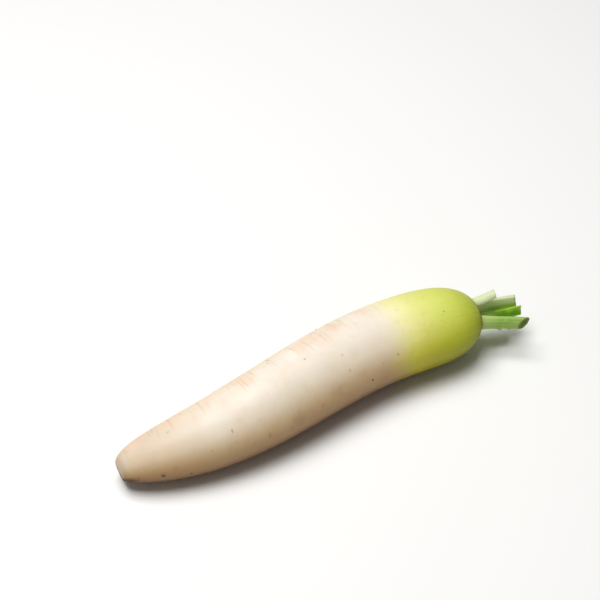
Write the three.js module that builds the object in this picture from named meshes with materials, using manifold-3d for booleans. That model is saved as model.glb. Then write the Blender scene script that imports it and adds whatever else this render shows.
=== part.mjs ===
// A daikon radish, pulled, washed and trimmed: one long white root with a green shoulder, and the
// stubs of its cut leaf stalks, which stand in a ring on the crown. The root lies on its side along X,
// with the snapped tip towards -X and the crown towards +X. Millimetres, +Z up, resting on z = 0.
import * as THREE from "three";
import { mergeVertices } from "three/addons/utils/BufferGeometryUtils.js";
import Module from "manifold-3d";

// Driving dimensions of the root, measured along X from the tip.
const ROOT_LENGTH = 349;
const MAX_RADIUS = 35.8;
const TIP_RADIUS = 8;
const WIDEST_AT = 245;
const S_BEND = 9.5;
const BOW = 2.3;
const TIP_LIFT = 9;
const TIP_LIFT_SPAN = 88;
const REST_FLAT_DEPTH = 0.8;

// The snapped face of the tip looks along -X whatever way the axis heads there, and leans over a
// little, its top foremost.
const TIP_FACE_LEAN = 0.1;
const TIP_FACE_SPAN = 44;

// How the radius swells from the tip to the widest place, and how the shoulder rounds into the crown.
const TAPER_POWER = 2.74;
const TAPER_ROUNDNESS = 0.6;
const SHOULDER_POWER = 5;
const SHOULDER_ROUNDNESS = 0.53;

// The slight three-sided and two-sided unevenness of the skin, as shares of the radius.
const THREE_SIDED = 0.012;
const TWO_SIDED = 0.01;

// Shallow creases where side rootlets grew, in two opposite rows along the white part.
const CREASE_COUNT = 20;
const CREASE_FIRST = 34;
const CREASE_LAST = 226;
const CREASE_DEPTH = 0.45;
const CREASE_HALF_WIDTH = 1.5;
const CREASE_ROW_ANGLE = THREE.MathUtils.degToRad(55);
const CREASE_HALF_ARC = THREE.MathUtils.degToRad(30);

// Mesh density of the root.
const ROOT_SIDES = 36;
const ROOT_STEPS = 52;

// The leaf stalks. Every stalk is a ribbed gutter: round outside, hollowed on the side that faces the
// middle of the crown, wide where it clasps the crown and cut off square or slanting at its end.
// around: place round the crown's axis, in degrees, 0 towards the far side and 90 towards the top.
// ring: distance of its base from the crown's axis. splay: degrees that it leans outwards.
// curl: degrees by which it bends outwards between base and end. slant: millimetres by which the
// outer side of the cut reaches past the inner side. skew: the same from one margin to the other.
// gutter: how much of the inner half of the section is hollowed away, as a share.
const STALKS = {
  stalk_front: { around: 176, ring: 8.8, splay: 15.5, curl: 6, length: 36.8, width: 13.8, thickness: 8.4, slant: -9.8, skew: 2.5, gutter: 0.05 },
  stalk_top: { around: 352, ring: 9, splay: 10, curl: -20, length: 39.5, width: 14.5, thickness: 9, slant: 1, skew: 2, gutter: 0.62 },
  stalk_back: { around: 65, ring: 13.3, splay: 14, curl: 0, length: 18.5, width: 10.5, thickness: 9, slant: 1.5, skew: 0, gutter: 0.4 },
  stalk_inner: { around: 271, ring: 5.9, splay: -3, curl: 1, length: 40, width: 10.8, thickness: 5.4, slant: 0, skew: -4, gutter: 0.62 },
  stalk_under: { around: 250, ring: 10.6, splay: 9, curl: 3, length: 28, width: 7.6, thickness: 5.2, slant: 2, skew: 0, gutter: 0.62 },
};
const STALK_SINK = 9;
const STALK_SIDES = 24;
const STALK_STEPS = 12;
const BASE_FLARE = 0.22;
const BASE_FLARE_SPAN = 0.3;
const END_NARROWING = 0.1;
const GROWTH_GAP = 0.3;

const STALK_GREEN = 0x8fb35a;
const ROOT_CREAM = 0xf2e6d3;

const wasm = await Module();
wasm.setup();

// Radius of the root at a distance from the tip.
function rootRadius(x) {
  if (x < WIDEST_AT) {
    const left = Math.max(1 - x / WIDEST_AT, 0);
    const swell = Math.pow(Math.max(1 - Math.pow(left, TAPER_POWER), 0), TAPER_ROUNDNESS);
    return TIP_RADIUS + (MAX_RADIUS - TIP_RADIUS) * swell;
  }
  const u = Math.min((x - WIDEST_AT) / (ROOT_LENGTH - WIDEST_AT), 1);
  return MAX_RADIUS * Math.pow(1 - Math.pow(u, SHOULDER_POWER), SHOULDER_ROUNDNESS);
}

// The root's axis seen from above: it bends once each way, on a slight bow.
function axisY(x) {
  const u = x / ROOT_LENGTH;
  return -S_BEND * Math.sin(2 * Math.PI * u) + BOW * Math.sin(Math.PI * u);
}

// The height of the axis: the underside lies on the table, the tip lifts a little, and past the
// widest place the axis stays level, so that the shoulder rounds away from the table.
function axisZ(x) {
  const lift = TIP_LIFT * Math.pow(Math.max(1 - x / TIP_LIFT_SPAN, 0), 2);
  return (x < WIDEST_AT ? rootRadius(x) : MAX_RADIUS) + lift - REST_FLAT_DEPTH;
}

// The level direction square to the axis, towards the far side.
function axisSide(x) {
  const step = 0.5;
  const slope = (axisY(x + step) - axisY(x - step)) / (2 * step);
  return new THREE.Vector3(-slope, 1, 0).normalize();
}

// Where each crease lies along the root, unevenly spaced by a slow wave, and on which of the two rows.
const creases = Array.from({ length: CREASE_COUNT }, (_, i) => ({
  x: THREE.MathUtils.lerp(CREASE_FIRST, CREASE_LAST, i / (CREASE_COUNT - 1)) + 3 * Math.sin(2.4 * i),
  angle: CREASE_ROW_ANGLE + (i % 2) * Math.PI + 0.12 * Math.sin(1.7 * i),
}));

function angleBetween(a, b) {
  return Math.abs(Math.atan2(Math.sin(a - b), Math.cos(a - b)));
}

function creaseDepth(x, angle) {
  let depth = 0;
  for (const crease of creases) {
    const along = Math.max(1 - Math.abs(x - crease.x) / CREASE_HALF_WIDTH, 0);
    const across = Math.max(1 - angleBetween(angle, crease.angle) / CREASE_HALF_ARC, 0);
    depth = Math.max(depth, CREASE_DEPTH * along * Math.sqrt(across));
  }
  return depth;
}

// Unevenness of the skin round the root, which fades out on the side that it lies on.
function unevenness(x, angle) {
  const u = x / ROOT_LENGTH;
  const three = THREE_SIDED * Math.sin(3 * angle + 7 * u);
  const two = TWO_SIDED * Math.sin(2 * angle - 5 * u + 1);
  return ((three + two) * (1 + Math.sin(angle))) / 2;
}

// A solid of a closed geometry, whose position alone matters.
function solidFrom(geometry) {
  const bare = geometry.index ? geometry.toNonIndexed() : geometry;
  bare.deleteAttribute("normal");
  bare.deleteAttribute("uv");
  const merged = mergeVertices(bare, 1e-4);
  return new wasm.Manifold(
    new wasm.Mesh({
      numProp: 3,
      vertProperties: merged.attributes.position.array,
      triVerts: new Uint32Array(merged.index.array),
    }),
  );
}

function geometryFrom(solid) {
  const mesh = solid.getMesh();
  const geometry = new THREE.BufferGeometry();
  geometry.setAttribute("position", new THREE.BufferAttribute(mesh.vertProperties, 3));
  geometry.setIndex(new THREE.BufferAttribute(mesh.triVerts, 1));
  geometry.computeVertexNormals();
  return geometry;
}

// Distances from the tip at which the root has a ring of corners: closer together at both rounded
// ends, and three to each crease.
function ringPlaces() {
  const even = Array.from({ length: ROOT_STEPS + 1 }, (_, i) => {
    const t = i / ROOT_STEPS;
    return ROOT_LENGTH * (t - 0.85 * (Math.sin(2 * Math.PI * t) / (2 * Math.PI)));
  });
  const atCreases = creases.flatMap(({ x }) => [x - CREASE_HALF_WIDTH, x, x + CREASE_HALF_WIDTH]);
  const clearOfCreases = even.filter((x) =>
    atCreases.every((place) => Math.abs(x - place) > CREASE_HALF_WIDTH * 0.7),
  );
  return [...clearOfCreases, ...atCreases].sort((a, b) => a - b);
}

// The root, as a lathe turned about its own axis and then laid along the bent one. grow widens it
// all over, to leave room between it and what is cut to fit it.
function rootGeometry(grow) {
  const places = ringPlaces();
  const wall = places.map((x) => new THREE.Vector2(Math.max(rootRadius(x), 0), x));
  const profile = [new THREE.Vector2(0, 0), ...wall];
  profile[profile.length - 1].x = 0;
  const geometry = new THREE.LatheGeometry(profile, ROOT_SIDES);
  const position = geometry.attributes.position;
  const point = new THREE.Vector3();
  for (let i = 0; i < position.count; i++) {
    point.fromBufferAttribute(position, i);
    const x = point.y;
    const radius = Math.hypot(point.x, point.z);
    const angle = Math.atan2(point.x, point.z);
    const reach = radius > 0 ? radius * (1 + unevenness(x, angle)) - creaseDepth(x, angle) + grow : 0;
    const side = axisSide(x);
    const across = reach * Math.cos(angle);
    const rise = reach * Math.sin(angle);
    const face = Math.pow(Math.max(1 - x / TIP_FACE_SPAN, 0), 2);
    const stretch = grow * (x > WIDEST_AT ? Math.pow((x - WIDEST_AT) / (ROOT_LENGTH - WIDEST_AT), 2) : 0);
    position.setXYZ(
      i,
      x + stretch + side.x * across * (1 - face) - TIP_FACE_LEAN * rise * face,
      axisY(x) + side.y * across,
      Math.max(axisZ(x) + rise, grow > 0 ? -grow : 0),
    );
  }
  return geometry;
}

// The crown: where the root's axis ends, and the three directions that the stalks are placed by.
const crown = (() => {
  const far = axisSide(ROOT_LENGTH);
  return {
    centre: new THREE.Vector3(ROOT_LENGTH, axisY(ROOT_LENGTH), axisZ(ROOT_LENGTH)),
    out: new THREE.Vector3(far.y, -far.x, 0),
    far,
    up: new THREE.Vector3(0, 0, 1),
  };
})();

// How far the rounded shoulder has dropped behind the crown's centre at a distance from the axis.
function shoulderDrop(ring) {
  const rise = 1 - Math.pow(ring / MAX_RADIUS, 1 / SHOULDER_ROUNDNESS);
  return (ROOT_LENGTH - WIDEST_AT) * (1 - Math.pow(rise, 1 / SHOULDER_POWER));
}

// The curve that a stalk follows, from inside the crown to its cut end.
function stalkPath({ around, ring, splay, curl, length }) {
  const place = THREE.MathUtils.degToRad(around);
  const outward = crown.far.clone().multiplyScalar(Math.cos(place)).addScaledVector(crown.up, Math.sin(place));
  const heading = (degrees) => {
    const lean = THREE.MathUtils.degToRad(degrees);
    return crown.out.clone().multiplyScalar(Math.cos(lean)).addScaledVector(outward, Math.sin(lean));
  };
  const base = crown.centre
    .clone()
    .addScaledVector(outward, ring)
    .addScaledVector(crown.out, -shoulderDrop(ring));
  const start = base.clone().addScaledVector(heading(splay), -STALK_SINK);
  const middle = base.clone().addScaledVector(heading(splay), length / 2);
  const end = middle.clone().addScaledVector(heading(splay + curl), length / 2);
  return { curve: new THREE.QuadraticBezierCurve3(start, middle, end), outward };
}

// The outline of a stalk across, at an angle round it: a half ellipse outside, and inside a
// shallower one with the gutter pressed into it.
function stalkSection(angle, width, thickness, gutter) {
  const across = (width / 2) * Math.cos(angle);
  const rise = Math.sin(angle);
  const outside = (thickness / 2) * rise;
  return { across, out: rise > 0 ? outside : outside + (thickness / 2) * gutter * rise * rise };
}

function stalkGeometry(stalk) {
  const { curve, outward } = stalkPath(stalk);
  const geometry = new THREE.CylinderGeometry(1, 1, 1, STALK_SIDES, STALK_STEPS);
  const position = geometry.attributes.position;
  const point = new THREE.Vector3();
  for (let i = 0; i < position.count; i++) {
    point.fromBufferAttribute(position, i);
    const along = point.y + 0.5;
    const share = Math.min(Math.hypot(point.x, point.z), 1);
    const angle = Math.atan2(point.x, point.z);
    const flare = BASE_FLARE * Math.pow(Math.max(1 - along / BASE_FLARE_SPAN, 0), 2);
    const size = 1 + flare - END_NARROWING * along;
    const section = stalkSection(angle, stalk.width * size, stalk.thickness * size, stalk.gutter);
    const tangent = curve.getTangent(along);
    const across = new THREE.Vector3().crossVectors(outward, tangent).normalize();
    const out = new THREE.Vector3().crossVectors(tangent, across);
    const slant = (stalk.slant * section.out) / stalk.thickness + (stalk.skew * section.across) / stalk.width;
    const place = curve
      .getPoint(along)
      .addScaledVector(across, share * section.across)
      .addScaledVector(out, share * section.out)
      .addScaledVector(tangent, (along * share * slant) / size);
    position.setXYZ(i, place.x, place.y, place.z);
  }
  return geometry;
}

const rootSkin = new THREE.MeshStandardMaterial({ color: ROOT_CREAM, roughness: 0.45, metalness: 0 });
const radish = new THREE.Group();

const root = new THREE.Mesh(geometryFrom(solidFrom(rootGeometry(0))), rootSkin);
root.name = "root";
radish.add(root);

// Each stalk ends where it meets the crown, a hair's breadth clear of it.
const clearance = solidFrom(rootGeometry(GROWTH_GAP));
for (const [name, stalk] of Object.entries(STALKS)) {
  const grown = solidFrom(stalkGeometry(stalk)).subtract(clearance);
  const skin = new THREE.MeshStandardMaterial({ color: STALK_GREEN, roughness: 0.5, metalness: 0 });
  const mesh = new THREE.Mesh(geometryFrom(grown), skin);
  mesh.name = name;
  radish.add(mesh);
}

// The frame's origin is under the middle of the whole, on the table.
const box = new THREE.Box3().setFromObject(radish);
const middle = box.getCenter(new THREE.Vector3());
radish.position.set(-middle.x, -middle.y, -box.min.z);

export default radish;
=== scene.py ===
import math

import bpy
from mathutils import Matrix, Vector


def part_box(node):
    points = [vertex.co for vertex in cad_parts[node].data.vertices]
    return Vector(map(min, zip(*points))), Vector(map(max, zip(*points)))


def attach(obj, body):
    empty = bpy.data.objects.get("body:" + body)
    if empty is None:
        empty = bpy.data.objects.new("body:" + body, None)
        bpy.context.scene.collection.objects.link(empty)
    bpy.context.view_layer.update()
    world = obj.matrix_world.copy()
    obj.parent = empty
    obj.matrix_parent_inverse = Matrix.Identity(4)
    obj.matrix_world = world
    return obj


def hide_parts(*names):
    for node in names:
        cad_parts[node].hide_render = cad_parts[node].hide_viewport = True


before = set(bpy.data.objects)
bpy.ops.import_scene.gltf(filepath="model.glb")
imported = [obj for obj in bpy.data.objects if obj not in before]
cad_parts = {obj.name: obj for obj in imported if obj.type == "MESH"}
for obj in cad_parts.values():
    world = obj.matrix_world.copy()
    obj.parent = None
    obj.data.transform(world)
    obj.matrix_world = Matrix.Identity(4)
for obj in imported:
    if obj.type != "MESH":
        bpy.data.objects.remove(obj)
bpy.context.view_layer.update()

# The root is one long piece, white and waxy below and sun-greened over the shoulder. It follows one
# rule along its bent axis: a blunt snapped tip, a slow swelling, and a shoulder into the crown.
# It lies on its side, on a narrow flat, with its two rows of side-rootlet scars up and down.


class Wire:
    """A socket of a node tree that can be used in sums."""

    def __init__(self, tree, socket=None):
        self.tree = tree
        self.socket = socket

    def node(self, kind, settings=None, values=None, out=0):
        made = self.tree.nodes.new(kind)
        for name, value in (settings or {}).items():
            if name == "stops":
                ramp = made.color_ramp
                while len(ramp.elements) < len(value):
                    ramp.elements.new(0.5)
                for element, (place, colour) in zip(ramp.elements, value):
                    element.position = place
                    element.color = (*colour, 1)
            else:
                setattr(made, name, value)
        for key, value in (values or {}).items():
            if isinstance(value, Wire):
                self.tree.links.new(value.socket, made.inputs[key])
            else:
                made.inputs[key].default_value = value
        return Wire(self.tree, made.outputs[out] if len(made.outputs) else None)

    def math(self, operation, *others):
        values = dict(enumerate((self, *others)))
        return self.node("ShaderNodeMath", {"operation": operation}, values)

    def before(self, operation, first):
        return self.node("ShaderNodeMath", {"operation": operation}, {0: first, 1: self})

    def __add__(self, other):
        return self.math("ADD", other)

    def __radd__(self, other):
        return self.before("ADD", other)

    def __sub__(self, other):
        return self.math("SUBTRACT", other)

    def __rsub__(self, other):
        return self.before("SUBTRACT", other)

    def __mul__(self, other):
        return self.math("MULTIPLY", other)

    def __truediv__(self, other):
        return self.math("DIVIDE", other)

    def __rtruediv__(self, other):
        return self.before("DIVIDE", other)

    def __pow__(self, other):
        return self.math("POWER", other)

    def at_least(self, low):
        return self.math("MAXIMUM", low)

    def at_most(self, high):
        return self.math("MINIMUM", high)

    def sine(self):
        return self.math("SINE")

    def cosine(self):
        return self.math("COSINE")

    def rising(self, low, high):
        """A soft step from 0 below low to 1 above high."""
        settings = {"interpolation_type": "SMOOTHSTEP"}
        return self.node("ShaderNodeMapRange", settings, {0: self, 1: low, 2: high})

    def mixed(self, first, second):
        """The first colour where this is 0 and the second where it is 1."""
        values = {0: self, 6: first, 7: second}
        return self.node("ShaderNodeMix", {"data_type": "RGBA"}, values, out=2)

    def vector(self, x, y, z):
        return self.node("ShaderNodeCombineXYZ", values={0: x, 1: y, 2: z})

    def noise(self, place, scale, detail=2.0, roughness=0.5):
        values = {"Vector": place, "Scale": scale, "Detail": detail, "Roughness": roughness}
        return self.node("ShaderNodeTexNoise", values=values)


# Sizes are in millimetres, places are counted along X from the tip, and the face's lean is a slope.
# The nodes turn millimetres into metres at the end.
ROOT = {
    "Length": 349.0,
    "Widest radius": 35.8,
    "Tip radius": 8.0,
    "Widest at": 245.0,
    "S bend": 9.5,
    "Bow": 2.3,
    "Tip lift": 9.0,
    "Tip lift span": 88.0,
    "Flat depth": 0.8,
    "Face lean": 0.1,
    "Face span": 44.0,
    "Knobbliness": 0.7,
    "Face roughness": 1.8,
    "Scar relief": 2.4,
}
TAPER_POWER, TAPER_ROUNDNESS = 2.74, 0.6
SHOULDER_POWER, SHOULDER_ROUNDNESS = 5.0, 0.53
FULL_TURN = 2 * math.pi
MILLIMETRE = 0.001
# The mesh is a grid of points, with its rings closer together at both ends. This share of the
# rings makes the snapped face.
POINTS_ALONG, POINTS_ROUND = 441, 209
END_CROWDING = 0.62
FACE_RINGS = 0.05
# The relief of the old leaf scars fades out between these distances from the middle of the crown.
SCARS_FROM, SCARS_TO = 9.0, 21.0
# Low waves on the upper side: how many round the root, how many radians along it, where each
# starts, and its height as a share of the radius.
WAVES = [(3, 7, 0, 0.012), (2, -5, 1, 0.01)]
# Points closer than this, in metres, are merged where the grid closes.
SEAM = 0.00002


def bend_slope(x):
    """How far the bent axis runs sideways for each millimetre along X."""
    u = x / ROOT["Length"]
    bow = ROOT["Bow"] * math.cos(math.pi * u)
    return (bow - 2 * ROOT["S bend"] * math.cos(FULL_TURN * u)) * math.pi / ROOT["Length"]


skin = bpy.data.materials.new("daikon_skin")
skin.use_nodes = True
skin.node_tree.nodes.clear()
s = Wire(skin.node_tree)
object_place = s.node("ShaderNodeTexCoord", out="Object")
on_root = s.node("ShaderNodeAttribute", {"attribute_name": "on_root"}, out="Vector")
share = s.node("ShaderNodeSeparateXYZ", values={0: on_root}, out=0)
side = s.node("ShaderNodeSeparateXYZ", values={0: on_root}, out=1)
rise = s.node("ShaderNodeSeparateXYZ", values={0: on_root}, out=2)
snapped = s.node("ShaderNodeAttribute", {"attribute_name": "snapped"}, out="Fac")
from_crown = s.node("ShaderNodeAttribute", {"attribute_name": "from_crown"}, out="Fac")
angle = rise.math("ARCTAN2", side)

# Cream flesh under a thin clear skin, duller towards the tip, with peach along the rows of scars.
SCAR_ROW = math.radians(52)
clouds = s.noise(object_place, 26.0, 3.0)
row = ((angle - SCAR_ROW) * 2).cosine().rising(-0.1, 0.85)
cream = clouds.rising(0.35, 0.7).mixed((0.87, 0.79, 0.68, 1), (0.92, 0.86, 0.77, 1))
cream = ((1 - share.rising(0.02, 0.28)) * 0.85).mixed(cream, (0.72, 0.58, 0.43, 1))
blotches = s.noise(object_place, 95.0, 4.0, 0.65)
cream = (blotches.rising(0.5, 0.72) * 0.3).mixed(cream, (0.84, 0.7, 0.54, 1))
peach = s.noise(object_place, 48.0, 3.0).rising(0.44, 0.66)
cream = (peach * (row * 0.45 + 0.15)).mixed(cream, (0.88, 0.65, 0.5, 1))

# Where the sun reached the shoulder the skin turns from cream through yellow to leaf green. The
# edge of the green wavers, and lies further up on the lower side.
GREEN_FROM, GREEN_TO = 0.68, 0.78
EDGE_WAVER, EDGE_LAG = 0.05, 0.035
lower = (rise * -1.0).rising(-0.2, 0.8)
edge = (s.noise(object_place, 34.0, 4.0, 0.6) - 0.5) * EDGE_WAVER
streaks = s.noise(s.vector(share * 5.0, side * 7.0, rise * 7.0), 3.0, 3.0, 0.6)
edge = edge + (streaks - 0.5) * EDGE_WAVER
edge = edge - lower * EDGE_LAG
flush = s.node("ShaderNodeValToRGB", {"stops": [
    (GREEN_FROM, (0.93, 0.88, 0.75)),
    (0.73, (0.93, 0.89, 0.62)),
    (0.775, (0.9, 0.87, 0.43)),
    (0.82, (0.8, 0.8, 0.27)),
    (0.87, (0.72, 0.77, 0.18)),
    (0.925, (0.63, 0.7, 0.12)),
    (0.965, (0.52, 0.59, 0.06)),
    (1.0, (0.33, 0.35, 0.03)),
]}, {0: share + edge})
green = (share + edge).rising(GREEN_FROM, GREEN_TO)
skin_colour = green.mixed(cream, flush)
mottle = s.noise(object_place, 130.0, 3.0, 0.6).rising(0.52, 0.75)
skin_colour = (green * mottle * 0.14).mixed(skin_colour, (0.42, 0.46, 0.05, 1))

# Painted shade darkens the lower side, to brown on the white part and dull green on the shoulder.
painted_shade_on_white = s.node("ShaderNodeValToRGB", {"stops": [
    (0.15, (0.26, 0.155, 0.075)),
    (0.36, (0.36, 0.24, 0.13)),
    (0.54, (0.62, 0.445, 0.255)),
    (0.68, (0.8, 0.64, 0.42)),
    (0.86, (0.96, 0.91, 0.81)),
    (1.0, (1.0, 1.0, 1.0)),
]}, {0: rise * 0.5 + 0.5})
painted_shade_on_green = s.node("ShaderNodeValToRGB", {"stops": [
    (0.15, (0.27, 0.23, 0.0)),
    (0.36, (0.45, 0.41, 0.0)),
    (0.68, (0.84, 0.82, 0.2)),
    (1.0, (1.0, 1.0, 1.0)),
]}, {0: rise * 0.5 + 0.5})
# The painted shade multiplies the skin colour.
skin_colour = s.node("ShaderNodeMix", {"data_type": "RGBA", "blend_type": "MULTIPLY"},
                     {0: 1.0, 6: skin_colour, 7: green.mixed(painted_shade_on_white, painted_shade_on_green)}, out=2)

# Scars of side rootlets: short creases across the root in two opposite rows.
white_part = 1 - share.rising(0.66, 0.8)
crease_place = s.vector(share * 64.0 + s.noise(object_place, 20.0) * 0.9, angle * 0.36, 0.0)
crease_cell = s.node("ShaderNodeTexVoronoi", {"voronoi_dimensions": "2D"},
                     {"Vector": crease_place, "Scale": 1.0})
wrinkles = s.noise(s.vector(share * 150.0, angle * 1.3, 0.0), 1.0, 2.0, 0.6).rising(0.58, 0.72)
crease = (1 - crease_cell.rising(0.02, 0.27)).at_least(wrinkles * 0.5) * row * white_part
# Creases are tan above; lower down they grow stronger and near black, which is painted shade.
crease_and_shade_colour = lower.mixed((0.62, 0.42, 0.28, 1), (0.13, 0.07, 0.03, 1))
skin_colour = (crease * (lower * 0.6 + 0.3)).mixed(skin_colour, crease_and_shade_colour)

# Faint tan stains, mostly low on the sides.
stain = s.noise(object_place, 42.0, 4.0, 0.6).rising(0.54, 0.72) * (1 - rise.rising(0.2, 0.9))
skin_colour = (stain * white_part * 0.28).mixed(skin_colour, (0.36, 0.22, 0.12, 1))

# A few brown specks, each a small bruise or the pit of a hair root.
speck_grid = {"Vector": object_place, "Scale": 62.0}
speck_cell = s.node("ShaderNodeTexVoronoi", values=speck_grid)
speck_pick = s.node("ShaderNodeTexVoronoi", values=speck_grid, out="Color")
picked = s.node("ShaderNodeSeparateColor", values={0: speck_pick}).rising(0.5, 0.56)
speck = (1 - speck_cell.rising(0.03, 0.08)) * picked
skin_colour = (speck * 0.6).mixed(skin_colour, (0.26, 0.15, 0.07, 1))

# Pits left by single side roots. Each row is the share of the length, the degrees round the axis,
# half the length and half the width in millimetres, and the darkness.
PITS = [
    (0.09, 182, 3.6, 8.0, 0.7),
    (0.153, 192, 1.8, 5.0, 0.75),
    (0.034, 170, 1.6, 4.0, 0.4),
    (0.125, 88, 1.8, 2.2, 0.3),
    (0.205, 152, 1.5, 2.0, 0.25),
    (0.259, 135, 1.2, 3.0, 0.4),
    (0.338, 168, 1.6, 5.0, 0.4),
    (0.393, 178, 2.0, 4.0, 0.35),
    (0.481, 168, 2.4, 2.6, 0.3),
    (0.633, 171, 1.5, 1.9, 0.75),
    (0.655, 173, 1.5, 1.5, 0.3),
    (0.721, 149, 1.4, 1.6, 0.45),
    (0.673, 152, 1.2, 1.4, 0.25),
    (0.577, 140, 1.8, 1.8, 0.25),
    (0.577, 116, 1.8, 1.8, 0.22),
]
ragged = (s.noise(object_place, 420.0, 2.0) - 0.5) * 1.2
pit = None
for pit_share, pit_degrees, half_length, half_width, dark in PITS:
    lengths, widths = ROOT["Length"] / half_length, ROOT["Widest radius"] / half_width
    pit_angle = math.radians(pit_degrees)
    middle = (pit_share * lengths, math.cos(pit_angle) * widths, math.sin(pit_angle) * widths)
    here = s.node("ShaderNodeVectorMath", {"operation": "MULTIPLY"},
                  {0: on_root, 1: (lengths, widths, widths)})
    apart = s.node("ShaderNodeVectorMath", {"operation": "DISTANCE"}, {0: here, 1: middle}, out=1)
    spot = (1 - (apart + ragged).rising(0.3, 1.1)) * dark
    pit = spot if pit is None else pit.at_least(spot)
pit_colour = pit.rising(0.3, 0.75).mixed((0.42, 0.27, 0.12, 1), (0.17, 0.095, 0.015, 1))
skin_colour = (pit * 1.3).mixed(skin_colour, pit_colour)

# The snapped tip shows fibrous flesh with a brown rim, and soil is left at its lower edge.
soil_noise = s.noise(object_place, 320.0, 3.0, 0.65)
rim = (1 - share.rising(0.004, 0.018)) * (1 - snapped.rising(0.0, 0.3))
low_tip = (1 - share.rising(0.01, 0.05)) * (rise * -1.0).rising(-0.25, 0.15)
soil = low_tip * soil_noise.rising(0.32, 0.52)
skin_colour = (snapped.rising(0.0, 0.3) * 0.8).mixed(skin_colour, (0.7, 0.5, 0.36, 1))
skin_colour = (rim * (lower * 0.7 + 0.25)).mixed(skin_colour, (0.2, 0.15, 0.05, 1))
skin_colour = (soil * 0.9).mixed(skin_colour, (0.085, 0.045, 0.02, 1))

# Old leaf scars ring the crown, corky brown; the dark brown between the stalks is painted shade.
CORK_FROM, CORK_TO, CORK_WAVER = 14.0, 22.0, 6.0
cork_and_crevice_shade = 1 - (from_crown + (soil_noise - 0.5) * CORK_WAVER).rising(CORK_FROM, CORK_TO)
scar_and_shade_colour = soil_noise.rising(0.42, 0.62).mixed((0.1, 0.085, 0.012, 1), (0.32, 0.3, 0.08, 1))
skin_colour = (cork_and_crevice_shade * 0.9).mixed(skin_colour, scar_and_shade_colour)

# Fine streaks, shallow dents and the marks make the relief, and the marks are duller than the skin.
fine = s.noise(s.vector(share * 120.0, side * 14.0, rise * 14.0), 2.0, 3.0)
height = fine * 0.12 + s.noise(object_place, 90.0, 2.0) * 0.5
height = height - crease * 0.55 - speck * 0.5 - pit * 0.5
height = height + snapped.rising(0.0, 0.2) * s.noise(object_place, 900.0, 3.0, 0.7) * 1.6
height = height + cork_and_crevice_shade * soil_noise * 1.5
relief = s.node("ShaderNodeBump", values={"Strength": 0.35, "Distance": 0.0006, "Height": height})
gloss = 0.34 + clouds * 0.12 + crease * 0.2 + snapped * 0.3 + cork_and_crevice_shade * 0.3 + soil * 0.4
surface = s.node("ShaderNodeBsdfPrincipled", values={
    "Base Color": skin_colour,
    "Roughness": gloss,
    "IOR": 1.42,
    "Normal": relief,
    "Subsurface Weight": 0.18,
    "Subsurface Radius": (1.0, 0.72, 0.42),
    "Subsurface Scale": 0.004,
    "Specular IOR Level": 0.2,
    "Coat Weight": 0.02,
    "Coat Roughness": 0.3,
})
s.node("ShaderNodeOutputMaterial", values={"Surface": surface})

root_rule = bpy.data.node_groups.new("daikon_root", "GeometryNodeTree")
root_rule.interface.new_socket("Geometry", in_out="OUTPUT", socket_type="NodeSocketGeometry")
for name in ROOT:
    root_rule.interface.new_socket(name, in_out="INPUT", socket_type="NodeSocketFloat")
r = Wire(root_rule)
given = root_rule.nodes.new("NodeGroupInput")
size = {name: Wire(root_rule, given.outputs[name]) for name in ROOT}
grid = r.node("GeometryNodeMeshGrid", values={
    "Size X": 1.0, "Size Y": 1.0, "Vertices X": POINTS_ALONG, "Vertices Y": POINTS_ROUND})
corner = r.node("GeometryNodeInputPosition")
step = r.node("ShaderNodeSeparateXYZ", values={0: corner}, out=0) + 0.5
turn = r.node("ShaderNodeSeparateXYZ", values={0: corner}, out=1) + 0.5
round_axis = -math.pi / 2 - turn * FULL_TURN
cosine, sine = round_axis.cosine(), round_axis.sine()
inside = (step / FACE_RINGS).at_most(1.0)
along = ((step - FACE_RINGS) / (1 - FACE_RINGS)).at_least(0.0)
x = size["Length"] * (along - (along * FULL_TURN).sine() * (END_CROWDING / FULL_TURN))
u = x / size["Length"]
below_widest = (1 - x / size["Widest at"]).at_least(0.0)
swell = (1 - below_widest ** TAPER_POWER).at_least(0.0) ** TAPER_ROUNDNESS
radius = size["Tip radius"] + (size["Widest radius"] - size["Tip radius"]) * swell
over_shoulder = (x - size["Widest at"]) / (size["Length"] - size["Widest at"])
over_shoulder = over_shoulder.at_least(0.0).at_most(1.0)
dome = (1 - over_shoulder ** SHOULDER_POWER).at_least(0.0) ** SHOULDER_ROUNDNESS
lift = size["Tip lift"] * (1 - x / size["Tip lift span"]).at_least(0.0) ** 2
axis_height = radius + lift - size["Flat depth"]
axis_side = size["Bow"] * (u * math.pi).sine() - size["S bend"] * (u * FULL_TURN).sine()
bow_slope = size["Bow"] * (u * math.pi).cosine()
slope = (bow_slope - size["S bend"] * 2 * (u * FULL_TURN).cosine()) * math.pi / size["Length"]
level = 1 / (slope * slope + 1).math("SQRT")
upper = (sine + 1) / 2
first_wave, second_wave = [
    (round_axis * count + u * run + start).sine() * part for count, run, start, part in WAVES]
knobs = r.noise(r.vector(u * 9.0, cosine * 1.5, sine * 1.5), 1.3, 3.0, 0.55) - 0.5
wavy = radius * (1 + (first_wave + second_wave) * upper)
reach = inside * dome * (wavy + knobs * size["Knobbliness"] * upper)
outwards, upwards = reach * cosine, reach * sine
face = (1 - x / size["Face span"]).at_least(0.0) ** 2
torn = (r.noise(r.vector(outwards, upwards, 0.0), 0.35, 4.0, 0.65) - 0.5) * size["Face roughness"]
place_x = x - slope * level * outwards * (1 - face) - size["Face lean"] * upwards * face
place_x = place_x + torn * (1 - inside).rising(0.0, 0.25)
on_crown = over_shoulder.rising(0.9, 1.0) * (1 - reach.rising(SCARS_FROM, SCARS_TO))
scars = r.noise(r.vector(outwards * 0.6, upwards * 0.6, 0.0), 0.45, 4.0, 0.6) - 0.55
place_x = place_x + scars * on_crown * size["Scar relief"]
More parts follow.
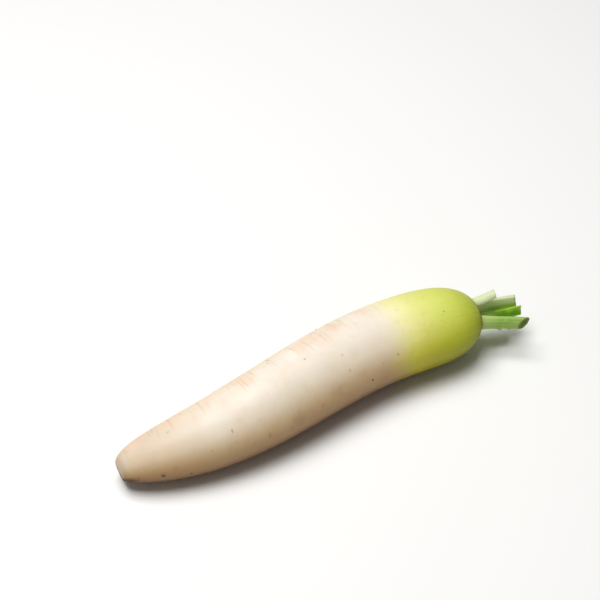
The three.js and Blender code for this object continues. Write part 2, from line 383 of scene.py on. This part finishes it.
place = r.vector(place_x, axis_side + level * outwards, (axis_height + upwards).at_least(0.0))
metres = r.node("ShaderNodeVectorMath", {"operation": "SCALE"}, {0: place, "Scale": MILLIMETRE})
crown_depth = 40.0
radial = reach + (size["Length"] - x).rising(0.0, crown_depth) * crown_depth
body = r.node("GeometryNodeStoreNamedAttribute", {"data_type": "FLOAT_VECTOR"},
              {"Geometry": grid, "Name": "on_root", "Value": r.vector(u, cosine, sine)})
for name, value in (("snapped", 1 - inside), ("from_crown", radial)):
    body = r.node("GeometryNodeStoreNamedAttribute",
                  values={"Geometry": body, "Name": name, "Value": value})
body = r.node("GeometryNodeSetPosition", values={"Geometry": body, "Position": metres})
body = r.node("GeometryNodeMergeByDistance", values={"Geometry": body, "Distance": SEAM})
body = r.node("GeometryNodeSetShadeSmooth", values={"Geometry": body})
body = r.node("GeometryNodeRealizeInstances", values={"Geometry": body})
body = r.node("GeometryNodeSetMaterial", values={"Geometry": body, "Material": skin})
r.node("NodeGroupOutput", values={"Geometry": body})


def grown(name, rule, sizes):
    """A plain mesh object made by a node tree with these sizes."""
    made = bpy.data.objects.new(name, bpy.data.meshes.new(name))
    bpy.context.collection.objects.link(made)
    modifier = made.modifiers.new("rule", "NODES")
    modifier.node_group = rule
    for item in rule.interface.items_tree:
        if item.name in sizes:
            modifier[item.identifier] = sizes[item.name]
    evaluated = made.evaluated_get(bpy.context.evaluated_depsgraph_get())
    mesh = bpy.data.meshes.new_from_object(evaluated)
    made.modifiers.remove(modifier)
    made.data = mesh
    return made


root = grown("daikon_root", root_rule, ROOT)
corners = [vertex.co for vertex in root.data.vertices]
lowest = Vector([min(c[i] for c in corners) for i in range(3)])
highest = Vector([max(c[i] for c in corners) for i in range(3)])
low, high = (Vector(c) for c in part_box("root"))
to_frame = (low + high) / 2 - (lowest + highest) / 2
to_frame.z = 0
root.data.transform(Matrix.Translation(to_frame))
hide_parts("root")
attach(root, "root")

# Hair roots that broke off in the washing leave a few short dry stubs along the two rows of scars.
# They grow from the skin, so each stands square to it with its foot sunk in. Sizes are in metres,
# and the density is stubs for each square metre of a row.
STUBS = {"Density": 3000.0, "Foot radius": 0.00042, "Top radius": 0.00014, "Height": 0.0011}
STUB_SEED = 4
STUB_SINK = 0.0002
STUB_CORNERS = 7
STUB_ROW = math.radians(55)

dry_root = bpy.data.materials.new("dry_hair_root")
dry_root.use_nodes = True
dry_root.node_tree.nodes.clear()
d = Wire(dry_root.node_tree)
grain = d.noise(d.node("ShaderNodeTexCoord", out="Object"), 900.0, 3.0, 0.6)
d.node("ShaderNodeOutputMaterial", values={"Surface": d.node("ShaderNodeBsdfPrincipled", values={
    "Base Color": grain.rising(0.35, 0.65).mixed((0.5, 0.34, 0.2, 1), (0.7, 0.54, 0.36, 1)),
    "Roughness": 0.65 + grain * 0.2,
    "Specular IOR Level": 0.2,
})})

stub_rule = bpy.data.node_groups.new("hair_root_stubs", "GeometryNodeTree")
stub_rule.interface.new_socket("Geometry", in_out="OUTPUT", socket_type="NodeSocketGeometry")
for name in STUBS:
    stub_rule.interface.new_socket(name, in_out="INPUT", socket_type="NodeSocketFloat")
h = Wire(stub_rule)
given = stub_rule.nodes.new("NodeGroupInput")
size = {name: Wire(stub_rule, given.outputs[name]) for name in STUBS}
skin_mesh = h.node("GeometryNodeObjectInfo", values={"Object": root}, out="Geometry")
spot = h.node("GeometryNodeInputNamedAttribute", {"data_type": "FLOAT_VECTOR"}, {"Name": "on_root"})
length_share = h.node("ShaderNodeSeparateXYZ", values={0: spot}, out=0)
round_angle = h.node("ShaderNodeSeparateXYZ", values={0: spot}, out=2).math(
    "ARCTAN2", h.node("ShaderNodeSeparateXYZ", values={0: spot}, out=1))
in_row = ((round_angle - STUB_ROW) * 2).cosine().rising(0.8, 1.0)
on_white = length_share.rising(0.05, 0.12) * (1 - length_share.rising(0.6, 0.68))
scattered = h.node("GeometryNodeDistributePointsOnFaces", {"distribute_method": "RANDOM"}, {
    "Mesh": skin_mesh, "Density": size["Density"] * in_row * on_white, "Seed": STUB_SEED})
upright = Wire(stub_rule, scattered.socket.node.outputs["Rotation"])
cone = h.node("GeometryNodeMeshCone", values={
    "Vertices": STUB_CORNERS, "Radius Bottom": size["Foot radius"],
    "Radius Top": size["Top radius"], "Depth": size["Height"]})
cone = h.node("GeometryNodeTransform", values={"Geometry": cone, "Translation": (0, 0, -STUB_SINK)})
uneven = h.node("FunctionNodeRandomValue", {"data_type": "FLOAT"},
                {2: 0.5, 3: 1.25, "Seed": STUB_SEED}, out=1)
stubs = h.node("GeometryNodeInstanceOnPoints", values={
    "Points": scattered, "Instance": cone, "Rotation": upright,
    "Scale": h.vector(uneven, uneven, uneven)})
stubs = h.node("GeometryNodeRealizeInstances", values={"Geometry": stubs})
stubs = h.node("GeometryNodeSetMaterial", values={"Geometry": stubs, "Material": dry_root})
h.node("NodeGroupOutput", values={"Geometry": stubs})

hair_roots = grown("hair_root_stubs", stub_rule, STUBS)
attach(hair_roots, "root")

# The leaf stalks were cut off a few centimetres above the crown. They are ribbed green flesh, round
# outside and pale where they clasp the crown. All but the front one are hollow towards the middle,
# like a gutter. They grow out of the crown in a ring, so their bases are sunk into it.
#
# Each row gives the degrees round the crown, the distance from its middle, the degrees of spread
# and of bend, the length, width and thickness, the slant of the cut inwards and across, how deep
# the gutter is, how pale the flesh is, and how far the nubs stand out.
STALKS = {
    "stalk_front": (176, 8.8, 15.5, 6, 36.8, 13.8, 8.4, -9.8, 2.5, 0.05, 0.08, 2.4),
    "stalk_top": (352, 9, 10, -20, 39.5, 14.5, 9, 1, 2, 0.62, 0.85, 0),
    "stalk_back": (65, 13.3, 14, 0, 18.5, 10.5, 9, 1.5, 0, 0.4, 1.0, 0),
    "stalk_inner": (271, 5.9, -3, 1, 40, 10.8, 5.4, 0, -4, 0.62, 0.0, 0),
    "stalk_under": (250, 10.6, 9, 3, 28, 7.6, 5.2, 2, 0, 0.62, 0.3, 0),
}
STALK_SINK = 9
STALK_SEAM = 0.00001
STALK_POINTS_ALONG, STALK_POINTS_ROUND = 121, 89
# Shares of the rings that close the base and make the cut face.
BASE_RINGS, CUT_RINGS = 0.03, 0.16
RIBS, RIB_HEIGHT = 15.0, 0.008
# The girth at the foot, its loss by the top, and the flare over the lowest part.
GIRTH, THINNING, FLARE_SPAN, FLARE = 1.04, 0.1, 0.34, 0.35
# Millimetres that the cut face is hollowed, that its edge is torn and that the stalk wanders.
CUT_DISH, CUT_TEAR, WANDER = 1.1, 1.6, 0.8
# What tells one stalk's tears and wander from the next one's.
SEED_STEP = 3.7
# How far up each nub is, its breadth and its part of the full height.
NUBS = [(0.53, 0.03, 1.0), (0.74, 0.026, 0.75)]
STALK_INPUTS = {
    "Start": "NodeSocketVector",
    "Middle": "NodeSocketVector",
    "End": "NodeSocketVector",
    "Outward": "NodeSocketVector",
    "Width": "NodeSocketFloat",
    "Thickness": "NodeSocketFloat",
    "Slant": "NodeSocketFloat",
    "Skew": "NodeSocketFloat",
    "Gutter": "NodeSocketFloat",
    "Paleness": "NodeSocketFloat",
    "Nub": "NodeSocketFloat",
    "Seed": "NodeSocketFloat",
}

stalk_flesh = bpy.data.materials.new("daikon_stalk")
stalk_flesh.use_nodes = True
stalk_flesh.node_tree.nodes.clear()
f = Wire(stalk_flesh.node_tree)
stalk_place = f.node("ShaderNodeTexCoord", out="Object")
on_stalk = f.node("ShaderNodeAttribute", {"attribute_name": "on_stalk"}, out="Vector")
up_stalk = f.node("ShaderNodeSeparateXYZ", values={0: on_stalk}, out=0)
across_stalk = f.node("ShaderNodeSeparateXYZ", values={0: on_stalk}, out=1)
outer = f.node("ShaderNodeSeparateXYZ", values={0: on_stalk}, out=2)
cut = f.node("ShaderNodeAttribute", {"attribute_name": "cut"}, out="Fac")
pale = f.node("ShaderNodeAttribute", {"attribute_name": "paleness"}, out="Fac")
fibre_place = f.vector(up_stalk * 1.2, across_stalk * 5.0, outer * 5.0)
fibres = f.noise(fibre_place, 3.2, 3.0, 0.6)
patches = f.noise(stalk_place, 150.0, 3.0)

outside = (fibres * 0.6 + patches * 0.4).rising(0.35, 0.65)
outside = outside.mixed((0.25, 0.43, 0.05, 1), (0.36, 0.55, 0.12, 1))
whitened = fibres.rising(0.4, 0.62).mixed((0.62, 0.72, 0.38, 1), (0.84, 0.87, 0.68, 1))
outside = pale.mixed(outside, whitened)
clasp = (1 - up_stalk.rising(0.2, 0.55)) * 0.45
outside = clasp.mixed(outside, (0.6, 0.72, 0.3, 1))
gutter = patches.rising(0.3, 0.7).mixed((0.1, 0.24, 0.003, 1), (0.2, 0.4, 0.015, 1))
gutter = (pale * 0.85).mixed(gutter, (0.5, 0.78, 0.07, 1))
gutter = (clasp * 1.8).mixed(gutter, (0.85, 0.98, 0.52, 1))
# Painted light and shade: each gutter is painted lighter along one brim and darker towards the
# other.
painted_light_brim = (across_stalk * -1.0).rising(0.35, 0.9)
in_shade = across_stalk.rising(-0.35, 0.35) * (1 - pale)
gutter = (in_shade * 0.7).mixed(gutter, (0.05, 0.13, 0.0, 1))
gutter = (painted_light_brim * 0.75).mixed(gutter, (0.42, 0.6, 0.1, 1))
# Painted light: on the pale stalks the gutter is painted near white on the half by that brim.
painted_light_half = (across_stalk * -1.0).rising(-0.4, 0.25) * pale
gutter = painted_light_half.mixed(gutter, (0.94, 1.0, 0.72, 1))
stalk_colour = (outer * -1.0).rising(0.1, 0.5).mixed(outside, gutter)
browned = (up_stalk + (patches - 0.5) * 0.05).rising(0.955, 1.0) * 0.5
stalk_colour = browned.mixed(stalk_colour, (0.3, 0.3, 0.12, 1))
pith = f.noise(stalk_place, 500.0, 3.0, 0.6)
# Painted shade: the cut faces are dark green, with lighter tan cuts on the pale stalks.
cut_and_shade_colour = pith.rising(0.35, 0.65).mixed((0.06, 0.11, 0.0, 1), (0.13, 0.2, 0.0, 1))
cut_and_shade_colour = (pale * 0.75).mixed(cut_and_shade_colour, (0.5, 0.48, 0.28, 1))
bundle_cell = f.node("ShaderNodeTexVoronoi", values={"Vector": stalk_place, "Scale": 620.0})
bundle = (1 - bundle_cell.rising(0.16, 0.34)) * (1 - cut.rising(0.3, 0.75))
cut_and_shade_colour = (bundle * 0.6).mixed(cut_and_shade_colour, (0.2, 0.27, 0.03, 1))
stalk_colour = cut.rising(0.0, 0.12).mixed(stalk_colour, cut_and_shade_colour)

ribs = (across_stalk * RIBS).sine() * outer.rising(0.0, 0.3)
stalk_height = ribs * 0.25 + fibres * 0.5 + pith * cut.rising(0.0, 0.2) * 1.2
stalk_relief = f.node("ShaderNodeBump", values={
    "Strength": 0.5, "Distance": 0.0005, "Height": stalk_height})
stalk_surface = f.node("ShaderNodeBsdfPrincipled", values={
    "Base Color": stalk_colour,
    "Roughness": 0.42 + patches * 0.12 + cut * 0.2,
    "Normal": stalk_relief,
    "Subsurface Weight": 0.6,
    "Subsurface Radius": (0.8, 1.0, 0.35),
    "Subsurface Scale": 0.005,
    "Specular IOR Level": 0.14,
})
f.node("ShaderNodeOutputMaterial", values={"Surface": stalk_surface})

stalk_rule = bpy.data.node_groups.new("daikon_stalk", "GeometryNodeTree")
stalk_rule.interface.new_socket("Geometry", in_out="OUTPUT", socket_type="NodeSocketGeometry")
for name, kind in STALK_INPUTS.items():
    stalk_rule.interface.new_socket(name, in_out="INPUT", socket_type=kind)
k = Wire(stalk_rule)
given = stalk_rule.nodes.new("NodeGroupInput")
size = {name: Wire(stalk_rule, given.outputs[name]) for name in STALK_INPUTS}


def scaled(vector, factor):
    values = {0: vector, "Scale": factor}
    return vector.node("ShaderNodeVectorMath", {"operation": "SCALE"}, values)


def joined(first, second, operation="ADD"):
    return first.node("ShaderNodeVectorMath", {"operation": operation}, {0: first, 1: second})


grid = k.node("GeometryNodeMeshGrid", values={
    "Size X": 1.0, "Size Y": 1.0, "Vertices X": STALK_POINTS_ALONG,
    "Vertices Y": STALK_POINTS_ROUND})
corner = k.node("GeometryNodeInputPosition")
step = k.node("ShaderNodeSeparateXYZ", values={0: corner}, out=0) + 0.5
turn = k.node("ShaderNodeSeparateXYZ", values={0: corner}, out=1) + 0.5
round_stalk = turn * -FULL_TURN
cosine, sine = round_stalk.cosine(), round_stalk.sine()
t = ((step - BASE_RINGS) / (1 - BASE_RINGS - CUT_RINGS)).at_least(0.0).at_most(1.0)
filled = (step / BASE_RINGS).at_most(1.0) * ((1 - step) / CUT_RINGS).at_most(1.0)
leg = joined(size["Middle"], size["Start"], "SUBTRACT")
next_leg = joined(size["End"], size["Middle"], "SUBTRACT")
heading = k.node("ShaderNodeVectorMath", {"operation": "NORMALIZE"},
                 {0: joined(scaled(leg, 1 - t), scaled(next_leg, t))})
spine = joined(scaled(size["Start"], (1 - t) ** 2), scaled(size["Middle"], t * (1 - t) * 2))
spine = joined(spine, scaled(size["End"], t ** 2))
across = k.node("ShaderNodeVectorMath", {"operation": "NORMALIZE"},
                {0: joined(size["Outward"], heading, "CROSS_PRODUCT")})
out = joined(heading, across, "CROSS_PRODUCT")
flare = (1 - t / FLARE_SPAN).at_least(0.0) ** 2 * FLARE
girth = GIRTH + flare - t * THINNING
hollow = (sine * -1).at_least(0.0)
outside_half = sine.at_least(0.0)
ribbing = (cosine * RIBS).sine() * outside_half * RIB_HEIGHT
inner_half = hollow * hollow * size["Gutter"] * 0.5 - hollow * 0.5
profile = size["Thickness"] * girth * (outside_half * 0.5 + ribbing + inner_half)
lower_nub, upper_nub = [
    (((t - middle) / breadth) ** 2 * -1).math("EXPONENT") * part for middle, breadth, part in NUBS]
nub = (lower_nub + upper_nub) * size["Nub"] * (cosine * -0.94 + sine * 0.34).at_least(0.0) ** 8
spread = size["Width"] * girth * cosine * 0.5 - nub
slant = size["Slant"] * profile / size["Thickness"] + size["Skew"] * spread / size["Width"]
tear = k.noise(k.vector(cosine * 2 + size["Seed"], sine * 2, 0.0), 1.2, 3.0) - 0.5
end_share = (1 - filled) * t.rising(0.9, 1.0)
push = t * filled * slant / girth + (t ** 6) * tear * CUT_TEAR * filled - end_share * CUT_DISH
wander = k.noise(k.vector(t * 2.2, size["Seed"], 0.0), 1.0, 2.0) - 0.5
place = joined(spine, scaled(across, filled * spread + wander * WANDER * t))
place = joined(place, scaled(out, filled * profile))
place = joined(place, scaled(heading, push))
stub = k.node("GeometryNodeStoreNamedAttribute", {"data_type": "FLOAT_VECTOR"},
              {"Geometry": grid, "Name": "on_stalk", "Value": k.vector(t, cosine, sine)})
for name, value in (("cut", end_share), ("paleness", size["Paleness"])):
    stub = k.node("GeometryNodeStoreNamedAttribute",
                  values={"Geometry": stub, "Name": name, "Value": value})
stub = k.node("GeometryNodeSetPosition", values={
    "Geometry": stub, "Position": scaled(place, MILLIMETRE)})
stub = k.node("GeometryNodeMergeByDistance", values={"Geometry": stub, "Distance": STALK_SEAM})
stub = k.node("GeometryNodeSetShadeSmooth", values={"Geometry": stub})
stub = k.node("GeometryNodeRealizeInstances", values={"Geometry": stub})
stub = k.node("GeometryNodeSetMaterial", values={"Geometry": stub, "Material": stalk_flesh})
k.node("NodeGroupOutput", values={"Geometry": stub})

tilt = bend_slope(ROOT["Length"])
far = Vector((-tilt, 1, 0)).normalized()
out_of_crown = Vector((far.y, -far.x, 0))
crown = Vector((ROOT["Length"], 0, ROOT["Widest radius"] - ROOT["Flat depth"]))
crown = crown + to_frame / MILLIMETRE
shoulder = ROOT["Length"] - ROOT["Widest at"]
for number, (node, numbers) in enumerate(STALKS.items()):
    around, ring, splay, curl, length, width, thickness, *cut_and_colour = numbers
    slant_mm, skew_mm, gutter_share, paleness, nub_mm = cut_and_colour
    turned = math.radians(around)
    outward = far * math.cos(turned) + Vector((0, 0, math.sin(turned)))
    rim_share = (ring / ROOT["Widest radius"]) ** (1 / SHOULDER_ROUNDNESS)
    drop = shoulder * (1 - (1 - rim_share) ** (1 / SHOULDER_POWER))
    lean, bent = math.radians(splay), math.radians(splay + curl)
    way = out_of_crown * math.cos(lean) + outward * math.sin(lean)
    bent_way = out_of_crown * math.cos(bent) + outward * math.sin(bent)
    base = crown + outward * ring - out_of_crown * drop
    middle = base + way * (length / 2)
    stalk = grown("daikon_" + node, stalk_rule, {
        "Start": base - way * STALK_SINK,
        "Middle": middle,
        "End": middle + bent_way * (length / 2),
        "Outward": outward,
        "Width": float(width),
        "Thickness": float(thickness),
        "Slant": float(slant_mm),
        "Skew": float(skew_mm),
        "Gutter": float(gutter_share),
        "Paleness": float(paleness),
        "Nub": float(nub_mm),
        "Seed": number * SEED_STEP,
    })
    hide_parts(node)
    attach(stalk, "root")

# The setting: a plain pale table under soft studio light from above and behind on the left, seen
# from above the near side, tip to the left.
TABLE = 4.0
floor = bpy.data.objects.new("table_top", bpy.data.meshes.new("table_top"))
table_corners = [(-TABLE, -TABLE, 0), (TABLE, -TABLE, 0), (TABLE, TABLE, 0), (-TABLE, TABLE, 0)]
floor.data.from_pydata(table_corners, [], [(0, 1, 2, 3)])
bpy.context.collection.objects.link(floor)
paper = bpy.data.materials.new("pale_paper")
paper.use_nodes = True
sheet = paper.node_tree.nodes["Principled BSDF"]
sheet.inputs["Base Color"].default_value = (0.94, 0.945, 0.95, 1)
sheet.inputs["Roughness"].default_value = 0.75
floor.data.materials.append(paper)

AZIMUTH, ELEVATION, DISTANCE = math.radians(-27.04), math.radians(47), 1.4
LENS, SENSOR = 90, 36
# The camera looks at a point of the table behind the root, so the root lies low in the frame.
aim = Vector((0.22904, 0.11933, 0)) + to_frame
level_back = Vector((math.sin(AZIMUTH), -math.cos(AZIMUTH), 0))
back = level_back * math.cos(ELEVATION) + Vector((0, 0, math.sin(ELEVATION)))
camera = bpy.data.objects.new("camera", bpy.data.cameras.new("camera"))
camera.data.lens = LENS
camera.data.sensor_width = SENSOR
camera.location = aim + back * DISTANCE
camera.rotation_euler = back.to_track_quat("Z", "Y").to_euler()
bpy.context.collection.objects.link(camera)
bpy.context.scene.camera = camera

right = Vector((math.cos(AZIMUTH), math.sin(AZIMUTH), 0))
away = Vector((-math.sin(AZIMUTH), math.cos(AZIMUTH), 0))

# Each lamp: metres to the right, away and up, its width, its watts and its colour.
LAMPS = {
    "key_softbox": (-0.5, 0.15, 2.3, 1.4, 57.5, (1, 0.995, 0.985)),
    "fill_softbox": (-0.9, -0.6, 0.9, 1.0, 0.8, (1, 0.95, 0.88)),
}
for name, (rightwards, backwards, up, width_m, watts, colour) in LAMPS.items():
    offset = right * rightwards + away * backwards + Vector((0, 0, up))
    lamp = bpy.data.objects.new(name, bpy.data.lights.new(name, "AREA"))
    lamp.data.size = width_m
    lamp.data.energy = watts
    lamp.data.color = colour
    lamp.location = offset
    lamp.rotation_euler = offset.to_track_quat("Z", "Y").to_euler()
    bpy.context.collection.objects.link(lamp)

world = bpy.data.worlds.new("studio")
world.use_nodes = True
sky = world.node_tree.nodes["Background"]
sky.inputs["Color"].default_value = (1, 0.94, 0.86, 1)
sky.inputs["Strength"].default_value = 0.14
bpy.context.scene.world = world
bpy.context.scene.view_settings.view_transform = "Standard"
